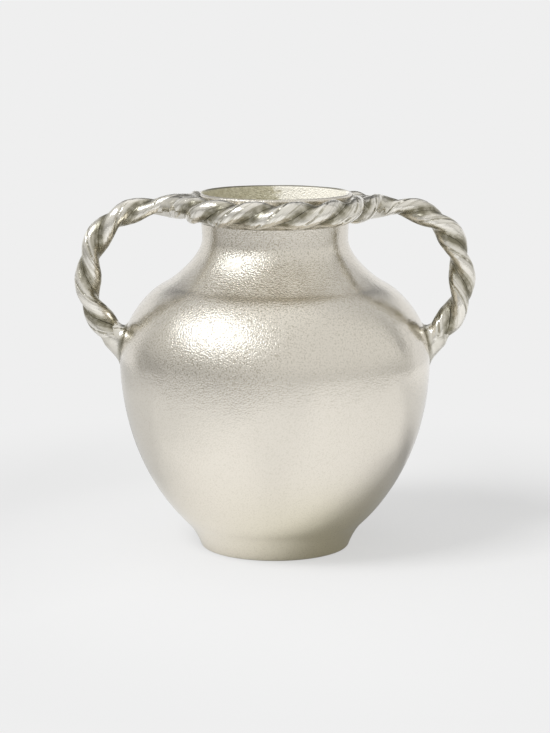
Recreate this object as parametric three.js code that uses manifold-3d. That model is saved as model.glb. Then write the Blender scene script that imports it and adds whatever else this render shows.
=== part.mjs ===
// Handled vase: a hollow cast body, a twisted rope round its mouth and two twisted rope handles.
// Millimetres, +Z up, the origin on the vase's axis in the plane that it stands on.
// Each rope is two strands of D-shaped section that wind round each other, left-handed.
import * as THREE from 'three';
import { mergeVertices } from 'three/addons/utils/BufferGeometryUtils.js';
import Module from 'manifold-3d';

const wasm = await Module();
wasm.setup();

// Body radii, outside, from the foot to the lip
const footRadius = 45.4;
const footTopRadius = 54;
const bellyRadius = 93.4;
const shoulderRadius = 66;
const neckRadius = 43.6;
const lipRadius = 46;

// Body heights: each one is the rise from the station below it
const footRise = 15.5;
const bellyRise = 100;
const shoulderRise = 45;
const neckRise = 27;
const mouthRise = 27.5;

// Slopes of the outside where two curves meet, from the horizontal
const footDraft = THREE.MathUtils.degToRad(70);
const bellySlope = THREE.MathUtils.degToRad(44);
const shoulderSlope = THREE.MathUtils.degToRad(25);

// Reach of each curve's end tangents: what makes the outline full or lean
const footPull = 5;
const bellyPullLow = 37;
const bellyPullHigh = 20;
const shoulderPull = 14.5;
const neckPullLow = 4;
const neckPullHigh = 11;

// Casting
const wall = 3;
const floorWall = 4;
const footEdge = 1.5;
const footRecess = 3;
const footRingWidth = 7;
const cavityCorner = 6;

// Rope section: two strands, side by side about the rope's own axis
const strandRadius = 5.25;
const strandOffset = 2.85;

// Clearances that stand for the brazed seams
const seam = 0.3;
const strandSeam = 0.3;

// Rope round the mouth: its top is level with the lip, less this drop
const ropeTopDrop = 0.2;
const wrapAngle = THREE.MathUtils.degToRad(50);
const branchReach = 18;
const branchPullRing = 16;
const branchPullOut = 17;
const rimHalfTurns = 8;

// Handles
const handleStandoff = 18.9;
const handleSideDrop = 48;
const handleFootRise = 9;
const handleDip = 0.8;
const handleTopSlope = THREE.MathUtils.degToRad(6);
const handleFootSlope = THREE.MathUtils.degToRad(48);
const handleTopPull = 29;
const handleSidePullHigh = 28;
const handleSidePullLow = 15;
const handleFootPull = 13;
const handleLead = 52.8;

// Flared foot of each handle: the strands' ends stand proud of its neck by the inset
const footCollarLength = 7;
const footCollarInset = 0.6;
const footFlare = 1.2;

// Fineness
const bodySegments = 60;
const strandSides = 9;
const strandStep = 4;
const footSides = 24;
const footSteps = 4;

const lipRound = wall / 2;
const vaseHeight = footRise + bellyRise + shoulderRise + neckRise + mouthRise;
const ropeRadius = strandRadius + strandOffset;
const ropeHeight = vaseHeight - ropeTopDrop - ropeRadius;
const UP = new THREE.Vector3(0, 0, 1);

// Cast metal, a warm satin silver, and the rope's brighter polish
const bodyMetal = new THREE.MeshStandardMaterial({ color: 0xcfc8ba, roughness: 0.42, metalness: 1 });
const ropeMetal = new THREE.MeshStandardMaterial({ color: 0xd6d0c4, roughness: 0.24, metalness: 1 });

const group = new THREE.Group();

function addPart(name, geometry, material) {
  const mesh = new THREE.Mesh(geometry, material);
  mesh.name = name;
  group.add(mesh);
}

function toSolid(geometry) {
  const bare = new THREE.BufferGeometry();
  bare.setAttribute('position', geometry.getAttribute('position').clone());
  if (geometry.index) bare.setIndex(geometry.index.clone());
  const merged = mergeVertices(bare, 1e-4);
  return new wasm.Manifold(new wasm.Mesh({
    numProp: 3,
    vertProperties: merged.attributes.position.array,
    triVerts: new Uint32Array(merged.index.array),
  }));
}

function toGeometry(solid) {
  const mesh = solid.getMesh();
  const geometry = new THREE.BufferGeometry();
  geometry.setAttribute('position', new THREE.BufferAttribute(mesh.vertProperties, 3));
  geometry.setIndex(new THREE.BufferAttribute(mesh.triVerts, 1));
  return geometry;
}

function largestPiece(solid) {
  const pieces = solid.decompose();
  return pieces.reduce((best, piece) => (piece.volume() > best.volume() ? piece : best));
}

// Body outline

function station(radius, height, slope) {
  const heading = new THREE.Vector2(Math.cos(slope), Math.sin(slope));
  return { at: new THREE.Vector2(radius, height), heading };
}

function curveBetween(from, to, pullFrom, pullTo) {
  return new THREE.CubicBezierCurve(
    from.at,
    from.at.clone().addScaledVector(from.heading, pullFrom),
    to.at.clone().addScaledVector(to.heading, -pullTo),
    to.at,
  );
}

function bodyOutline() {
  const bellyHeight = footRise + bellyRise;
  const shoulderHeight = bellyHeight + shoulderRise;
  const foot = station(footRadius, footEdge, footDraft);
  const footTop = station(footTopRadius, footRise, bellySlope);
  const belly = station(bellyRadius, bellyHeight, Math.PI / 2);
  const shoulder = station(shoulderRadius, shoulderHeight, Math.PI - shoulderSlope);
  const neck = station(neckRadius, shoulderHeight + neckRise, Math.PI / 2);
  const lip = new THREE.Vector2(lipRadius, vaseHeight - lipRound);
  return [
    ...curveBetween(foot, footTop, footPull, footPull).getPoints(4),
    ...curveBetween(footTop, belly, bellyPullLow, bellyPullLow).getPoints(9).slice(1),
    ...curveBetween(belly, shoulder, bellyPullHigh, shoulderPull).getPoints(8).slice(1),
    ...curveBetween(shoulder, neck, neckPullLow, neckPullHigh).getPoints(6).slice(1),
    lip,
  ];
}

// The outline moved sideways, square to itself: outwards for a clearance, inwards for the wall
function offsetOutline(points, distance) {
  return points.map((point, i) => {
    const before = points[Math.max(i - 1, 0)];
    const after = points[Math.min(i + 1, points.length - 1)];
    const along = after.clone().sub(before).normalize();
    return new THREE.Vector2(point.x + along.y * distance, point.y - along.x * distance);
  });
}

function radiusAt(points, height) {
  const i = points.findIndex((point) => point.y >= height);
  if (i < 0) return points[points.length - 1].x;
  if (i === 0) return points[0].x;
  const low = points[i - 1];
  const high = points[i];
  return THREE.MathUtils.mapLinear(height, low.y, high.y, low.x, high.x);
}

function arcPoints(centreX, centreY, radius, fromDegrees, toDegrees, count) {
  return Array.from({ length: count + 1 }, (_, i) => {
    const angle = THREE.MathUtils.degToRad(THREE.MathUtils.lerp(fromDegrees, toDegrees, i / count));
    return new THREE.Vector2(centreX + radius * Math.cos(angle), centreY + radius * Math.sin(angle));
  });
}

function turnedSolid(profile) {
  return new THREE.LatheGeometry(profile, bodySegments).rotateX(Math.PI / 2);
}

const outline = bodyOutline();

// Vase body: one hollow casting with a rounded lip and a recess inside its foot ring
function makeBody() {
  const floorTop = footRecess + floorWall;
  const inside = offsetOutline(outline, -wall).filter((point) => point.y > floorTop + cavityCorner);
  const cornerRadius = radiusAt(inside, floorTop + cavityCorner);
  const profile = [
    new THREE.Vector2(0, footRecess),
    new THREE.Vector2(footRadius - footRingWidth - footEdge, footRecess),
    new THREE.Vector2(footRadius - footRingWidth, 0),
    ...arcPoints(footRadius - footEdge, footEdge, footEdge, -90, -30, 2),
    ...outline,
    ...arcPoints(lipRadius - lipRound, vaseHeight - lipRound, lipRound, 45, 180, 3),
    ...inside.slice(0, -1).reverse(),
    ...arcPoints(cornerRadius - cavityCorner, floorTop + cavityCorner, cavityCorner, -20, -90, 3),
    new THREE.Vector2(0, floorTop),
  ];
  addPart('vase_body', turnedSolid(profile), bodyMetal);
}

// Rope runs: a path, its side direction and the twist at each point

class RingArc extends THREE.Curve {
  constructor(radius, height, face, halfAngle) {
    super();
    Object.assign(this, { radius, height, face, halfAngle });
  }

  getPoint(t, target = new THREE.Vector3()) {
    const angle = THREE.MathUtils.lerp(-this.halfAngle, this.halfAngle, t);
    const forward = this.face * this.radius * Math.cos(angle);
    return target.set(this.radius * Math.sin(angle), forward, this.height);
  }
}

function curveThrough(start, startHeading, startPull, end, endHeading, endPull) {
  return new THREE.CubicBezierCurve3(
    start,
    start.clone().addScaledVector(startHeading, startPull),
    end.clone().addScaledVector(endHeading, -endPull),
    end,
  );
}

// The rope lies against the neck at its closest height, whichever part of the lip that is
function ringRadius() {
  const reach = outline
    .filter((point) => Math.abs(point.y - ropeHeight) < ropeRadius)
    .map((point) => point.x + Math.sqrt(ropeRadius ** 2 - (point.y - ropeHeight) ** 2));
  return Math.max(radiusAt(outline, ropeHeight) + ropeRadius, ...reach) + seam;
}

const ringReach = ringRadius();
const branchX = ringReach + branchReach;
const branchPoint = new THREE.Vector3(branchX, 0, ropeHeight - handleDip);
const branchHeading = new THREE.Vector3(Math.cos(handleTopSlope), 0, -Math.sin(handleTopSlope));

// Half of the mouth's rope, from the left branch round the neck to the right one
function rimPath(face) {
  const arc = new RingArc(ringReach, ropeHeight, face, wrapAngle);
  const leave = arc.getPoint(1);
  const heading = new THREE.Vector3(Math.cos(wrapAngle), -face * Math.sin(wrapAngle), 0);
  const leftBranch = branchPoint.clone().setX(-branchPoint.x);
  const leftHeading = branchHeading.clone().setZ(-branchHeading.z);
  const joinHeading = heading.clone().setY(-heading.y);
  const join = arc.getPoint(0);
  const path = new THREE.CurvePath();
  path.add(curveThrough(leftBranch, leftHeading, branchPullOut, join, joinHeading, branchPullRing));
  path.add(arc);
  path.add(curveThrough(leave, heading, branchPullRing, branchPoint.clone(), branchHeading, branchPullOut));
  return path;
}

// A handle, from its branch at the mouth down to the shoulder; side is 1 on the right, -1 on the left
function handlePath(side) {
  const footHeight = footRise + bellyRise + handleFootRise;
  const top = new THREE.Vector3(side * branchX, 0, branchPoint.z);
  const outer = new THREE.Vector3(side * (bellyRadius + handleStandoff), 0, ropeHeight - handleSideDrop);
  const foot = new THREE.Vector3(side * radiusAt(outline, footHeight), 0, footHeight);
  const topHeading = new THREE.Vector3(side * branchHeading.x, 0, branchHeading.z);
  const footHeading = new THREE.Vector3(-side * Math.cos(handleFootSlope), 0, -Math.sin(handleFootSlope));
  const down = new THREE.Vector3(0, 0, -1);
  const path = new THREE.CurvePath();
  path.add(curveThrough(top, topHeading, handleTopPull, outer, down, handleSidePullHigh));
  path.add(curveThrough(outer, down, handleSidePullLow, foot, footHeading, handleFootPull));
  return path;
}

// Places along a path at even steps between two distances, each with its heading and its twist
function framesAlong(path, from, to, steps, turnAt) {
  const length = path.getLength();
  const nudge = 0.001;
  return Array.from({ length: steps + 1 }, (_, i) => {
    const distance = THREE.MathUtils.lerp(from, to, i / steps);
    const t = distance / length;
    const centre = path.getPoint(t);
    const ahead = path.getPoint(Math.min(t + nudge, 1));
    const behind = path.getPoint(Math.max(t - nudge, 0));
    const tangent = ahead.sub(behind).normalize();
    return { centre, tangent, turn: turnAt(distance) };
  });
}

// The direction that the twist is counted from: level beside the mouth's rope, and square to the plane
// of X and Z on a handle
const levelSide = (tangent) => new THREE.Vector3().crossVectors(UP, tangent).normalize();
const handleSide = (side) => () => new THREE.Vector3(0, side, 0);

function distanceBetween(positions, i, j) {
  const from = new THREE.Vector3().fromArray(positions, 3 * i);
  return from.distanceTo(new THREE.Vector3().fromArray(positions, 3 * j));
}

// A section swept along frames. Each side face is split along its shorter diagonal, but a strand's
// flat, the face from its last point back to its first, is split so that it hollows away from the other
// strand.
function sweep(frames, sideOf, sectionAt) {
  const positions = [];
  const indices = [];
  frames.forEach((frame, i) => {
    const side = sideOf(frame.tangent);
    const rise = new THREE.Vector3().crossVectors(frame.tangent, side);
    const across = side.clone().applyAxisAngle(frame.tangent, frame.turn);
    const over = rise.applyAxisAngle(frame.tangent, frame.turn);
    for (const point of sectionAt(i)) {
      const vertex = frame.centre.clone().addScaledVector(across, point.x).addScaledVector(over, point.y);
      positions.push(vertex.x, vertex.y, vertex.z);
    }
  });
  const count = positions.length / 3 / frames.length;
  const last = (frames.length - 1) * count;
  for (let ring = 0; ring < last; ring += count) {
    for (let k = 0; k < count; k += 1) {
      const next = (k + 1) % count;
      const near = [ring + k, ring + next];
      const far = [ring + count + k, ring + count + next];
      const rising = distanceBetween(positions, near[0], far[1]);
      const falling = distanceBetween(positions, near[1], far[0]);
      if (next !== 0 && rising < falling) {
        indices.push(near[0], near[1], far[1], near[0], far[1], far[0]);
      } else {
        indices.push(near[0], near[1], far[0], near[1], far[1], far[0]);
      }
    }
  }
  for (let k = 1; k < count - 1; k += 1) {
    indices.push(0, k + 1, k);
    indices.push(last, last + k, last + k + 1);
  }
  const geometry = new THREE.BufferGeometry();
  geometry.setAttribute('position', new THREE.Float32BufferAttribute(positions, 3));
  geometry.setIndex(indices);
  return geometry;
}

// Round part of one strand's section, up to the flat where it faces the other strand
const strandReach = Math.acos((strandSeam / 2 - strandOffset) / strandRadius);

function strandArc(radius, from, to, count) {
  return Array.from({ length: count + 1 }, (_, k) => {
    const angle = THREE.MathUtils.lerp(from, to, k / count);
    return new THREE.Vector2(strandOffset + radius * Math.cos(angle), radius * Math.sin(angle));
  });
}

function strandSection() {
  return strandArc(strandRadius, -strandReach, strandReach, strandSides - 1);
}

// One strand closed to a full round and larger by the seam: what a rope that ends against it is cut to
function strandClearance() {
  const radius = strandRadius + seam;
  const round = strandArc(radius, -strandReach, strandReach, strandSides - 1);
  const closing = strandArc(radius, strandReach, 2 * Math.PI - strandReach, 3).slice(1, -1);
  return [...round, ...closing];
}

// Twist along each run, left-handed: whole half turns round the mouth, so that the handles carry on from
// its ends
const leftHanded = -1;
const strandTurns = { a: 0, b: Math.PI };
const sides = { left: -1, right: 1 };

function rimStrand(face, strandTurn, section, endGap) {
  const path = rimPath(face);
  const length = path.getLength();
  const turnAt = (distance) => strandTurn + (leftHanded * rimHalfTurns * Math.PI * distance) / length;
  const steps = Math.round(length / strandStep);
  const frames = framesAlong(path, endGap, length - endGap, steps, turnAt);
  return sweep(frames, levelSide, () => section);
}

function handleStrand(side, strandTurn, section, startGap) {
  const path = handlePath(side);
  const end = path.getLength() - footCollarLength;
  const startTurn = side < 0 ? strandTurn + Math.PI : strandTurn;
  const turnAt = (distance) => startTurn + (leftHanded * 2 * Math.PI * distance) / handleLead;
  const frames = framesAlong(path, startGap, end, Math.round(end / strandStep), turnAt);
  return sweep(frames, handleSide(side), () => section);
}

// Front of the mouth's rope, whole from one handle to the other
function makeFrontRim() {
  for (const [name, turn] of Object.entries(strandTurns)) {
    addPart(`front_rim_strand_${name}`, rimStrand(-1, turn, strandSection(), seam / 2), ropeMetal);
  }
}

// Handles, butted on the front rope and carried on a flared foot
function makeHandles() {
  for (const [sideName, side] of Object.entries(sides)) {
    for (const [name, turn] of Object.entries(strandTurns)) {
      const strand = handleStrand(side, turn, strandSection(), seam / 2);
      addPart(`${sideName}_handle_strand_${name}`, strand, ropeMetal);
    }
  }
}

// Back of the mouth's rope, each end coped to the strands that it lands on
function makeBackRim() {
  const cutters = [];
  for (const turn of Object.values(strandTurns)) {
    cutters.push(toSolid(rimStrand(-1, turn, strandClearance(), 0)));
    for (const side of Object.values(sides)) {
      cutters.push(toSolid(handleStrand(side, turn, strandClearance(), 0)));
    }
  }
  for (const [name, turn] of Object.entries(strandTurns)) {
    let strand = toSolid(rimStrand(1, turn, strandSection(), 0));
    for (const cutter of cutters) strand = strand.subtract(cutter);
    addPart(`back_rim_strand_${name}`, toGeometry(largestPiece(strand)), ropeMetal);
  }
}

// Flared feet: each starts at its handle's strands and is cut to the shoulder
function makeHandleFeet() {
  const onAxis = [new THREE.Vector2(0, 0), new THREE.Vector2(0, vaseHeight)];
  const shoulder = toSolid(turnedSolid([onAxis[0], ...offsetOutline(outline, seam), onAxis[1]]));
  const neckRound = ropeRadius - footCollarInset;
  for (const [sideName, side] of Object.entries(sides)) {
    const path = handlePath(side);
    const length = path.getLength();
    const frames = framesAlong(path, length - footCollarLength + seam, length, footSteps, () => 0);
    const last = frames[footSteps];
    const sunkCentre = last.centre.clone().addScaledVector(last.tangent, footCollarLength);
    const foot = sweep([...frames, { ...last, centre: sunkCentre }], handleSide(side), (i) => {
      const share = Math.min(i / footSteps, 1);
      const radius = neckRound + footFlare * share ** 2;
      return arcPoints(0, 0, radius, 0, 360 - 360 / footSides, footSides - 1);
    });
    const cutFoot = largestPiece(toSolid(foot).subtract(shoulder));
    addPart(`${sideName}_handle_foot`, toGeometry(cutFoot), ropeMetal);
  }
}

makeBody();
makeFrontRim();
makeHandles();
makeBackRim();
makeHandleFeet();

export default group;
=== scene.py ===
# %% [markdown]
# # A handled vase in cast metal
#
# The vase is a hollow casting with a round belly. A rope of two thick strands, also cast metal, lies
# round its mouth and runs out to each side as a handle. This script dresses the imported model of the
# vase: it draws each piece again with finer shapes, in the same place and size, and gives it a finish.
# The vase's lengths are in millimetres, and turned to Blender's metres where a point or an input is made.

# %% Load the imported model
import math

import bpy
import numpy as np
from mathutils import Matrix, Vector


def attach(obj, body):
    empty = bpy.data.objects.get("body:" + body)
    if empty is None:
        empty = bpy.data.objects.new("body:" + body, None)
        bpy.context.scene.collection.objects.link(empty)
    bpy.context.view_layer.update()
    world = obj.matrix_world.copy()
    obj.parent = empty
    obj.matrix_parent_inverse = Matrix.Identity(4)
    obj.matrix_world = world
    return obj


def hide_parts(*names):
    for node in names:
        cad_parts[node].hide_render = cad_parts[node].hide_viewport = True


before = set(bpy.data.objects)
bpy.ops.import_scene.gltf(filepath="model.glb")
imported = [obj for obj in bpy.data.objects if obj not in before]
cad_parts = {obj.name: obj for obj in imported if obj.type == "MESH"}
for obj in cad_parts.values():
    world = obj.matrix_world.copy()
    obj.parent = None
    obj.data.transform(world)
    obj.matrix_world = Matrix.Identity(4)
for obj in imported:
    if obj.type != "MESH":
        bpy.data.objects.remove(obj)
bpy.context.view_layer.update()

MM = 0.001
print("nodes:", sorted(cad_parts))

# %% [markdown]
# ## Small helpers
#
# Node trees, for shapes and for materials alike, are lists of nodes with settings and links. One helper
# adds a node and fills its sockets: a number or colour is set, and another node's output is linked. The
# others stand for the nodes that come up most, so that a finish reads like a recipe. They add their node
# to the tree that the sockets they are given belong to. Colours are written as on a paint chart, in sRGB
# hex, and a render works in linear light, so one function turns the first into the second.

# %% Helpers for nodes and colours
def linear(hex_colour):
    shares = [int(hex_colour[i:i + 2], 16) / 255 for i in (1, 3, 5)]
    return (*[s / 12.92 if s <= 0.04045 else ((s + 0.055) / 1.055) ** 2.4 for s in shares], 1.0)


def add(tree, kind, inputs=None, **settings):
    node = tree.nodes.new(kind)
    for name, value in settings.items():
        setattr(node, name, value)
    for name, value in (inputs or {}).items():
        socket = node.inputs[name]
        if isinstance(value, bpy.types.NodeSocket):
            tree.links.new(value, socket)
        else:
            socket.default_value = value
    return node


def out(node, name=0):
    return node.outputs[name]


def tree_of(values):
    return next(value.id_data for value in values if isinstance(value, bpy.types.NodeSocket))


def math_of(operation, *values, clamp=False):
    """Arithmetic in one node, or in a row of them where there are more values than a node takes."""
    if len(values) > 2 and operation != "MULTIPLY_ADD":
        values = (math_of(operation, *values[:-1]), values[-1])
    return out(add(tree_of(values), "ShaderNodeMath", dict(enumerate(values)), operation=operation,
                   use_clamp=clamp))


def product(*values, clamp=False):
    return math_of("MULTIPLY", *values, clamp=clamp)


def vector_of(operation, *vectors):
    node = add(tree_of(vectors), "ShaderNodeVectorMath", dict(enumerate(vectors)), operation=operation)
    return out(node, "Value" if operation in ("LENGTH", "DOT_PRODUCT") else "Vector")


def parts_of(vector):
    return tuple(add(vector.id_data, "ShaderNodeSeparateXYZ", {0: vector}).outputs)


def joined(*parts):
    return out(add(tree_of(parts), "ShaderNodeCombineXYZ", dict(enumerate(parts))))


def between(value, low, high, to_low=0.0, to_high=1.0, smooth=False):
    """A value that goes from to_low to to_high while the given one goes from low to high."""
    return out(add(value.id_data, "ShaderNodeMapRange",
                   {"Value": value, "From Min": low, "From Max": high, "To Min": to_low, "To Max": to_high},
                   interpolation_type="SMOOTHSTEP" if smooth else "LINEAR"))


def from_to(share, start, end):
    return between(share, 0.0, 1.0, start, end)


def mix_colour(share, first, second, blend="MIX"):
    return out(add(share.id_data, "ShaderNodeMix", {"Factor": share, 6: first, 7: second},
                   data_type="RGBA", blend_type=blend), 2)


def colour_ramp(value, stops):
    """Colours at given shares of a value, as (share, colour)."""
    ramp = add(value.id_data, "ShaderNodeValToRGB", {"Fac": value})
    elements = ramp.color_ramp.elements
    while len(elements) > 1:
        elements.remove(elements[-1])
    for i, (share, colour) in enumerate(stops):
        element = elements[0] if i == 0 else elements.new(share)
        element.position, element.color = share, colour
    return out(ramp)


# %% [markdown]
# ## Camera
#
# The photograph is taken from a little above the mouth with a long lens, so the mouth is a narrow
# ellipse and the sides hardly converge. The camera stands straight in front, 1.37 m away.

# %% Camera
SENSOR, LENS = 36.0, 150.7
CAMERA_AWAY, CAMERA_HEIGHT = 1.3699, 0.3517   # metres
CAMERA_TILT = 79.97                           # degrees up from straight down

camera_data = bpy.data.cameras.new("camera")
camera_data.sensor_fit = "HORIZONTAL"
camera_data.sensor_width, camera_data.lens = SENSOR, LENS
camera = bpy.data.objects.new("camera", camera_data)
camera.location = (0.0, -CAMERA_AWAY, CAMERA_HEIGHT)
camera.rotation_euler = (math.radians(CAMERA_TILT), 0.0, 0.0)
bpy.context.scene.collection.objects.link(camera)
bpy.context.scene.camera = camera
print("camera at", tuple(camera.location))

# %% [markdown]
# ## Sizes of the vase
#
# The outline is five curves that meet at stations: edge of the foot, top of the foot, belly, shoulder,
# neck and lip. Each station has a radius, a height and a heading, and each curve leaves and reaches its
# stations along the headings. A Bezier curve is the natural tool, because its handles are just those
# headings with a reach.

# %% Sizes of the body
FOOT_RADIUS, FOOT_TOP_RADIUS, BELLY_RADIUS = 45.4, 54.0, 93.4
SHOULDER_RADIUS, NECK_RADIUS, LIP_RADIUS = 66.0, 43.6, 46.0
FOOT_TOP = 15.5
BELLY = FOOT_TOP + 100.0
SHOULDER = BELLY + 45.0
NECK = SHOULDER + 27.0
HEIGHT = NECK + 27.5
WALL, FLOOR_WALL = 3.0, 4.0
FOOT_EDGE, FOOT_RECESS, FOOT_RING = 1.5, 3.0, 7.0
LIP_ROUND = WALL / 2
FLOOR_TOP = FOOT_RECESS + FLOOR_WALL


def heading(degrees):
    return np.array([math.cos(math.radians(degrees)), math.sin(math.radians(degrees))])


# Stations of the outside: radius, height, heading, reach back, reach on
OUTSIDE = [
    (FOOT_RADIUS, FOOT_EDGE, 70, 0.0, 5.0),
    (FOOT_TOP_RADIUS, FOOT_TOP, 44, 5.0, 37.0),
    (BELLY_RADIUS, BELLY, 90, 37.0, 20.0),
    (SHOULDER_RADIUS, SHOULDER, 155, 14.5, 4.0),
    (NECK_RADIUS, NECK, 90, 11.0, 9.0),
    (LIP_RADIUS, HEIGHT - LIP_ROUND, 84, 9.0, 0.0),
]
print("vase", 2 * BELLY_RADIUS, "mm wide and", HEIGHT, "mm high without its handles")

# %% [markdown]
# ## The body's section
#
# A founder would turn or carve a pattern to this section and pack sand round it. The section goes from
# the middle of the underside, round the foot ring, up the outside, over the lip and down the inside to
# the middle of the floor. The inside is the outside moved in by the wall, square to the surface.

# %% The body's section as one curve
QUARTER_CIRCLE = 0.5523   # how far the handles of a quarter circle reach, as a share of its radius
RING_CORNER, RECESS_SLOPE = 1.0, -63.4
INSIDE_LIP_HEADING, INSIDE_LIP_REACH = 264, 9.0
CAVITY_FOOT_REACH = 2.0
FLOOR_EDGE_IN, FLOOR_EDGE_BACK, FLOOR_EDGE_ON = 8.5, 6.0, 1.0
SECTION_STEPS = 22


def inner_stations():
    inner = []
    for radius, height, degrees, back, on in OUTSIDE[1:-1]:
        step = heading(degrees)
        inner.append((radius - step[1] * WALL, height + step[0] * WALL, degrees, back, on))
    return inner


def section_knots():
    """Knots as (point, handle before, handle after), in mm, in the order that the text above gives."""
    knots = []

    def knot(radius, height, degrees=0, back=0.0, on=0.0):
        point, way = np.array([radius, height]), heading(degrees)
        knots.append((point, point - way * back, point + way * on))

    ring = FOOT_RADIUS - FOOT_RING
    ring_reach, edge_reach, lip_reach = (r * QUARTER_CIRCLE for r in (RING_CORNER, FOOT_EDGE, LIP_ROUND))
    corner = heading(RECESS_SLOPE) * RING_CORNER
    knot(0, FOOT_RECESS)
    knot(ring - FOOT_EDGE - RING_CORNER, FOOT_RECESS, on=ring_reach)
    knot(ring - FOOT_EDGE + corner[0], FOOT_RECESS + corner[1], RECESS_SLOPE, back=ring_reach)
    knot(ring - corner[0], -corner[1], RECESS_SLOPE, on=ring_reach)
    knot(ring + RING_CORNER, 0, back=ring_reach)
    knot(FOOT_RADIUS - FOOT_EDGE, 0, on=edge_reach)
    for radius, height, degrees, back, on in OUTSIDE:
        knot(radius, height, degrees, back or edge_reach, on or lip_reach)
    knot(LIP_RADIUS - LIP_ROUND, HEIGHT, 180, lip_reach, lip_reach)
    knot(LIP_RADIUS - 2 * LIP_ROUND, HEIGHT - LIP_ROUND, INSIDE_LIP_HEADING, lip_reach, INSIDE_LIP_REACH)
    inner = inner_stations()
    for i in range(len(inner) - 1, -1, -1):
        radius, height, degrees, back, on = inner[i]
        down = CAVITY_FOOT_REACH
        if i > 0:
            span = np.hypot(radius - inner[i - 1][0], height - inner[i - 1][1])
            outer_span = np.hypot(OUTSIDE[i + 1][0] - OUTSIDE[i][0], OUTSIDE[i + 1][1] - OUTSIDE[i][1])
            down = back * span / outer_span
        knot(radius, height, degrees + 180, on, down)
    knot(inner[0][0] - FLOOR_EDGE_IN, FLOOR_TOP, 180, FLOOR_EDGE_BACK, FLOOR_EDGE_ON)
    knot(0, FLOOR_TOP)
    return knots


def bezier_object(name, knots, place, resolution):
    """A curve object through knots; place turns a knot's own coordinates to a point in metres."""
    data = bpy.data.curves.new(name, "CURVE")
    data.dimensions = "3D"
    data.resolution_u = resolution
    spline = data.splines.new("BEZIER")
    spline.bezier_points.add(len(knots) - 1)
    for point, (middle, before, after) in zip(spline.bezier_points, knots):
        point.handle_left_type = point.handle_right_type = "FREE"
        point.co, point.handle_left, point.handle_right = place(middle), place(before), place(after)
    made = bpy.data.objects.new(name, data)
    bpy.context.scene.collection.objects.link(made)
    return made


section = bezier_object("body_section", section_knots(), lambda p: (p[0] * MM, 0, p[1] * MM), SECTION_STEPS)
print("section of", len(section.data.splines[0].bezier_points), "knots")

# %% [markdown]
# ## Running a tree of geometry nodes
#
# A tree is made once and used for many pieces, with its sizes as named inputs, like a jig that is set
# before each use. The result is kept as a plain mesh, because a finished piece carries no live modifier.

# %% Helpers for geometry nodes
def new_tree(name, sockets):
    """A tree with inputs by kind, and the sockets that give their values."""
    tree = bpy.data.node_groups.new(name, "GeometryNodeTree")
    for kind, labels in {"Geometry": ("Geometry",), **sockets, "Material": ("Material",)}.items():
        for label in labels:
            tree.interface.new_socket(label, in_out="INPUT", socket_type="NodeSocket" + kind)
    tree.interface.new_socket("Geometry", in_out="OUTPUT", socket_type="NodeSocketGeometry")
    return tree, tree.nodes.new("NodeGroupInput").outputs


def end_tree(geometry, given):
    tree = geometry.id_data
    real = add(tree, "GeometryNodeRealizeInstances", {"Geometry": geometry})
    smooth = add(tree, "GeometryNodeSetShadeSmooth", {"Geometry": out(real)})
    finish = add(tree, "GeometryNodeSetMaterial", {"Geometry": out(smooth), "Material": given["Material"]})
    add(tree, "NodeGroupOutput", {"Geometry": out(finish)})


def mark(geometry, name, value, kind="FLOAT"):
    """Keeps a value at each point of a shape, for a material or a later node to read."""
    return out(add(geometry.id_data, "GeometryNodeStoreNamedAttribute",
                   {"Geometry": geometry, "Name": name, "Value": value}, data_type=kind, domain="POINT"))


def marked(tree, name, kind="FLOAT"):
    return out(add(tree, "GeometryNodeInputNamedAttribute", {"Name": name}, data_type=kind))


def uneven(geometry, depth, size, seed):
    """Moves a surface in and out along its normal by slow noise: the hand's mark on the pattern."""
    tree = geometry.id_data
    place, normal = out(add(tree, "GeometryNodeInputPosition")), out(add(tree, "GeometryNodeInputNormal"))
    noise = out(add(tree, "ShaderNodeTexNoise",
                    {"Vector": place, "W": seed, "Scale": math_of("DIVIDE", 1.0, size), "Detail": 1.0},
                    noise_dimensions="4D"))
    amount = product(math_of("SUBTRACT", noise, 0.5), depth)
    offset = add(tree, "ShaderNodeVectorMath", {0: normal, "Scale": amount}, operation="SCALE")
    return out(add(tree, "GeometryNodeSetPosition", {"Geometry": geometry, "Offset": out(offset)}))


def keep(name, mesh):
    mesh.name = name
    piece = bpy.data.objects.new(name, mesh)
    bpy.context.scene.collection.objects.link(piece)
    print(name, "has", sum(len(p.vertices) - 2 for p in mesh.polygons), "triangles")
    return piece


def grow(name, source, tree, values):
    """Runs a tree on a curve object and keeps what it makes as a plain mesh object."""
    modifier = source.modifiers.new(tree.name, "NODES")
    modifier.node_group = tree
    for item in tree.interface.items_tree:
        if item.in_out == "INPUT" and item.name in values:
            modifier[item.identifier] = values[item.name]
    bpy.context.view_layer.update()
    depsgraph = bpy.context.evaluated_depsgraph_get()
    mesh = bpy.data.meshes.new_from_object(source.evaluated_get(depsgraph), depsgraph=depsgraph)
    source.modifiers.clear()
    return keep(name, mesh)


# %% [markdown]
# ## Finish of the body: sand-cast aluminium, nickel-toned
#
# The real body is an aluminium alloy cast in sand and then plated or lacquered to a warm pale nickel
# tone. Sand leaves a fine pebbled skin, which a light brushing flattens but doesn't remove, so
# highlights break into sparks and reflections of the room are soft. In the shader that is a metal of
# middling roughness with three noises in its bump: the grain, a slower peel and a slow dimpling.

# %% Material of the body
GRAIN = 0.9 * MM   # drawn coarser than the real 0.3 to 0.5 mm, because finer cells are lost in the picture
PEEL, DIMPLE, CLOUD = 2.1 * MM, 6.0 * MM, 26 * MM
PEEL_DEPTH, DIMPLE_DEPTH = 0.05 * MM, 0.13 * MM
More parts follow.
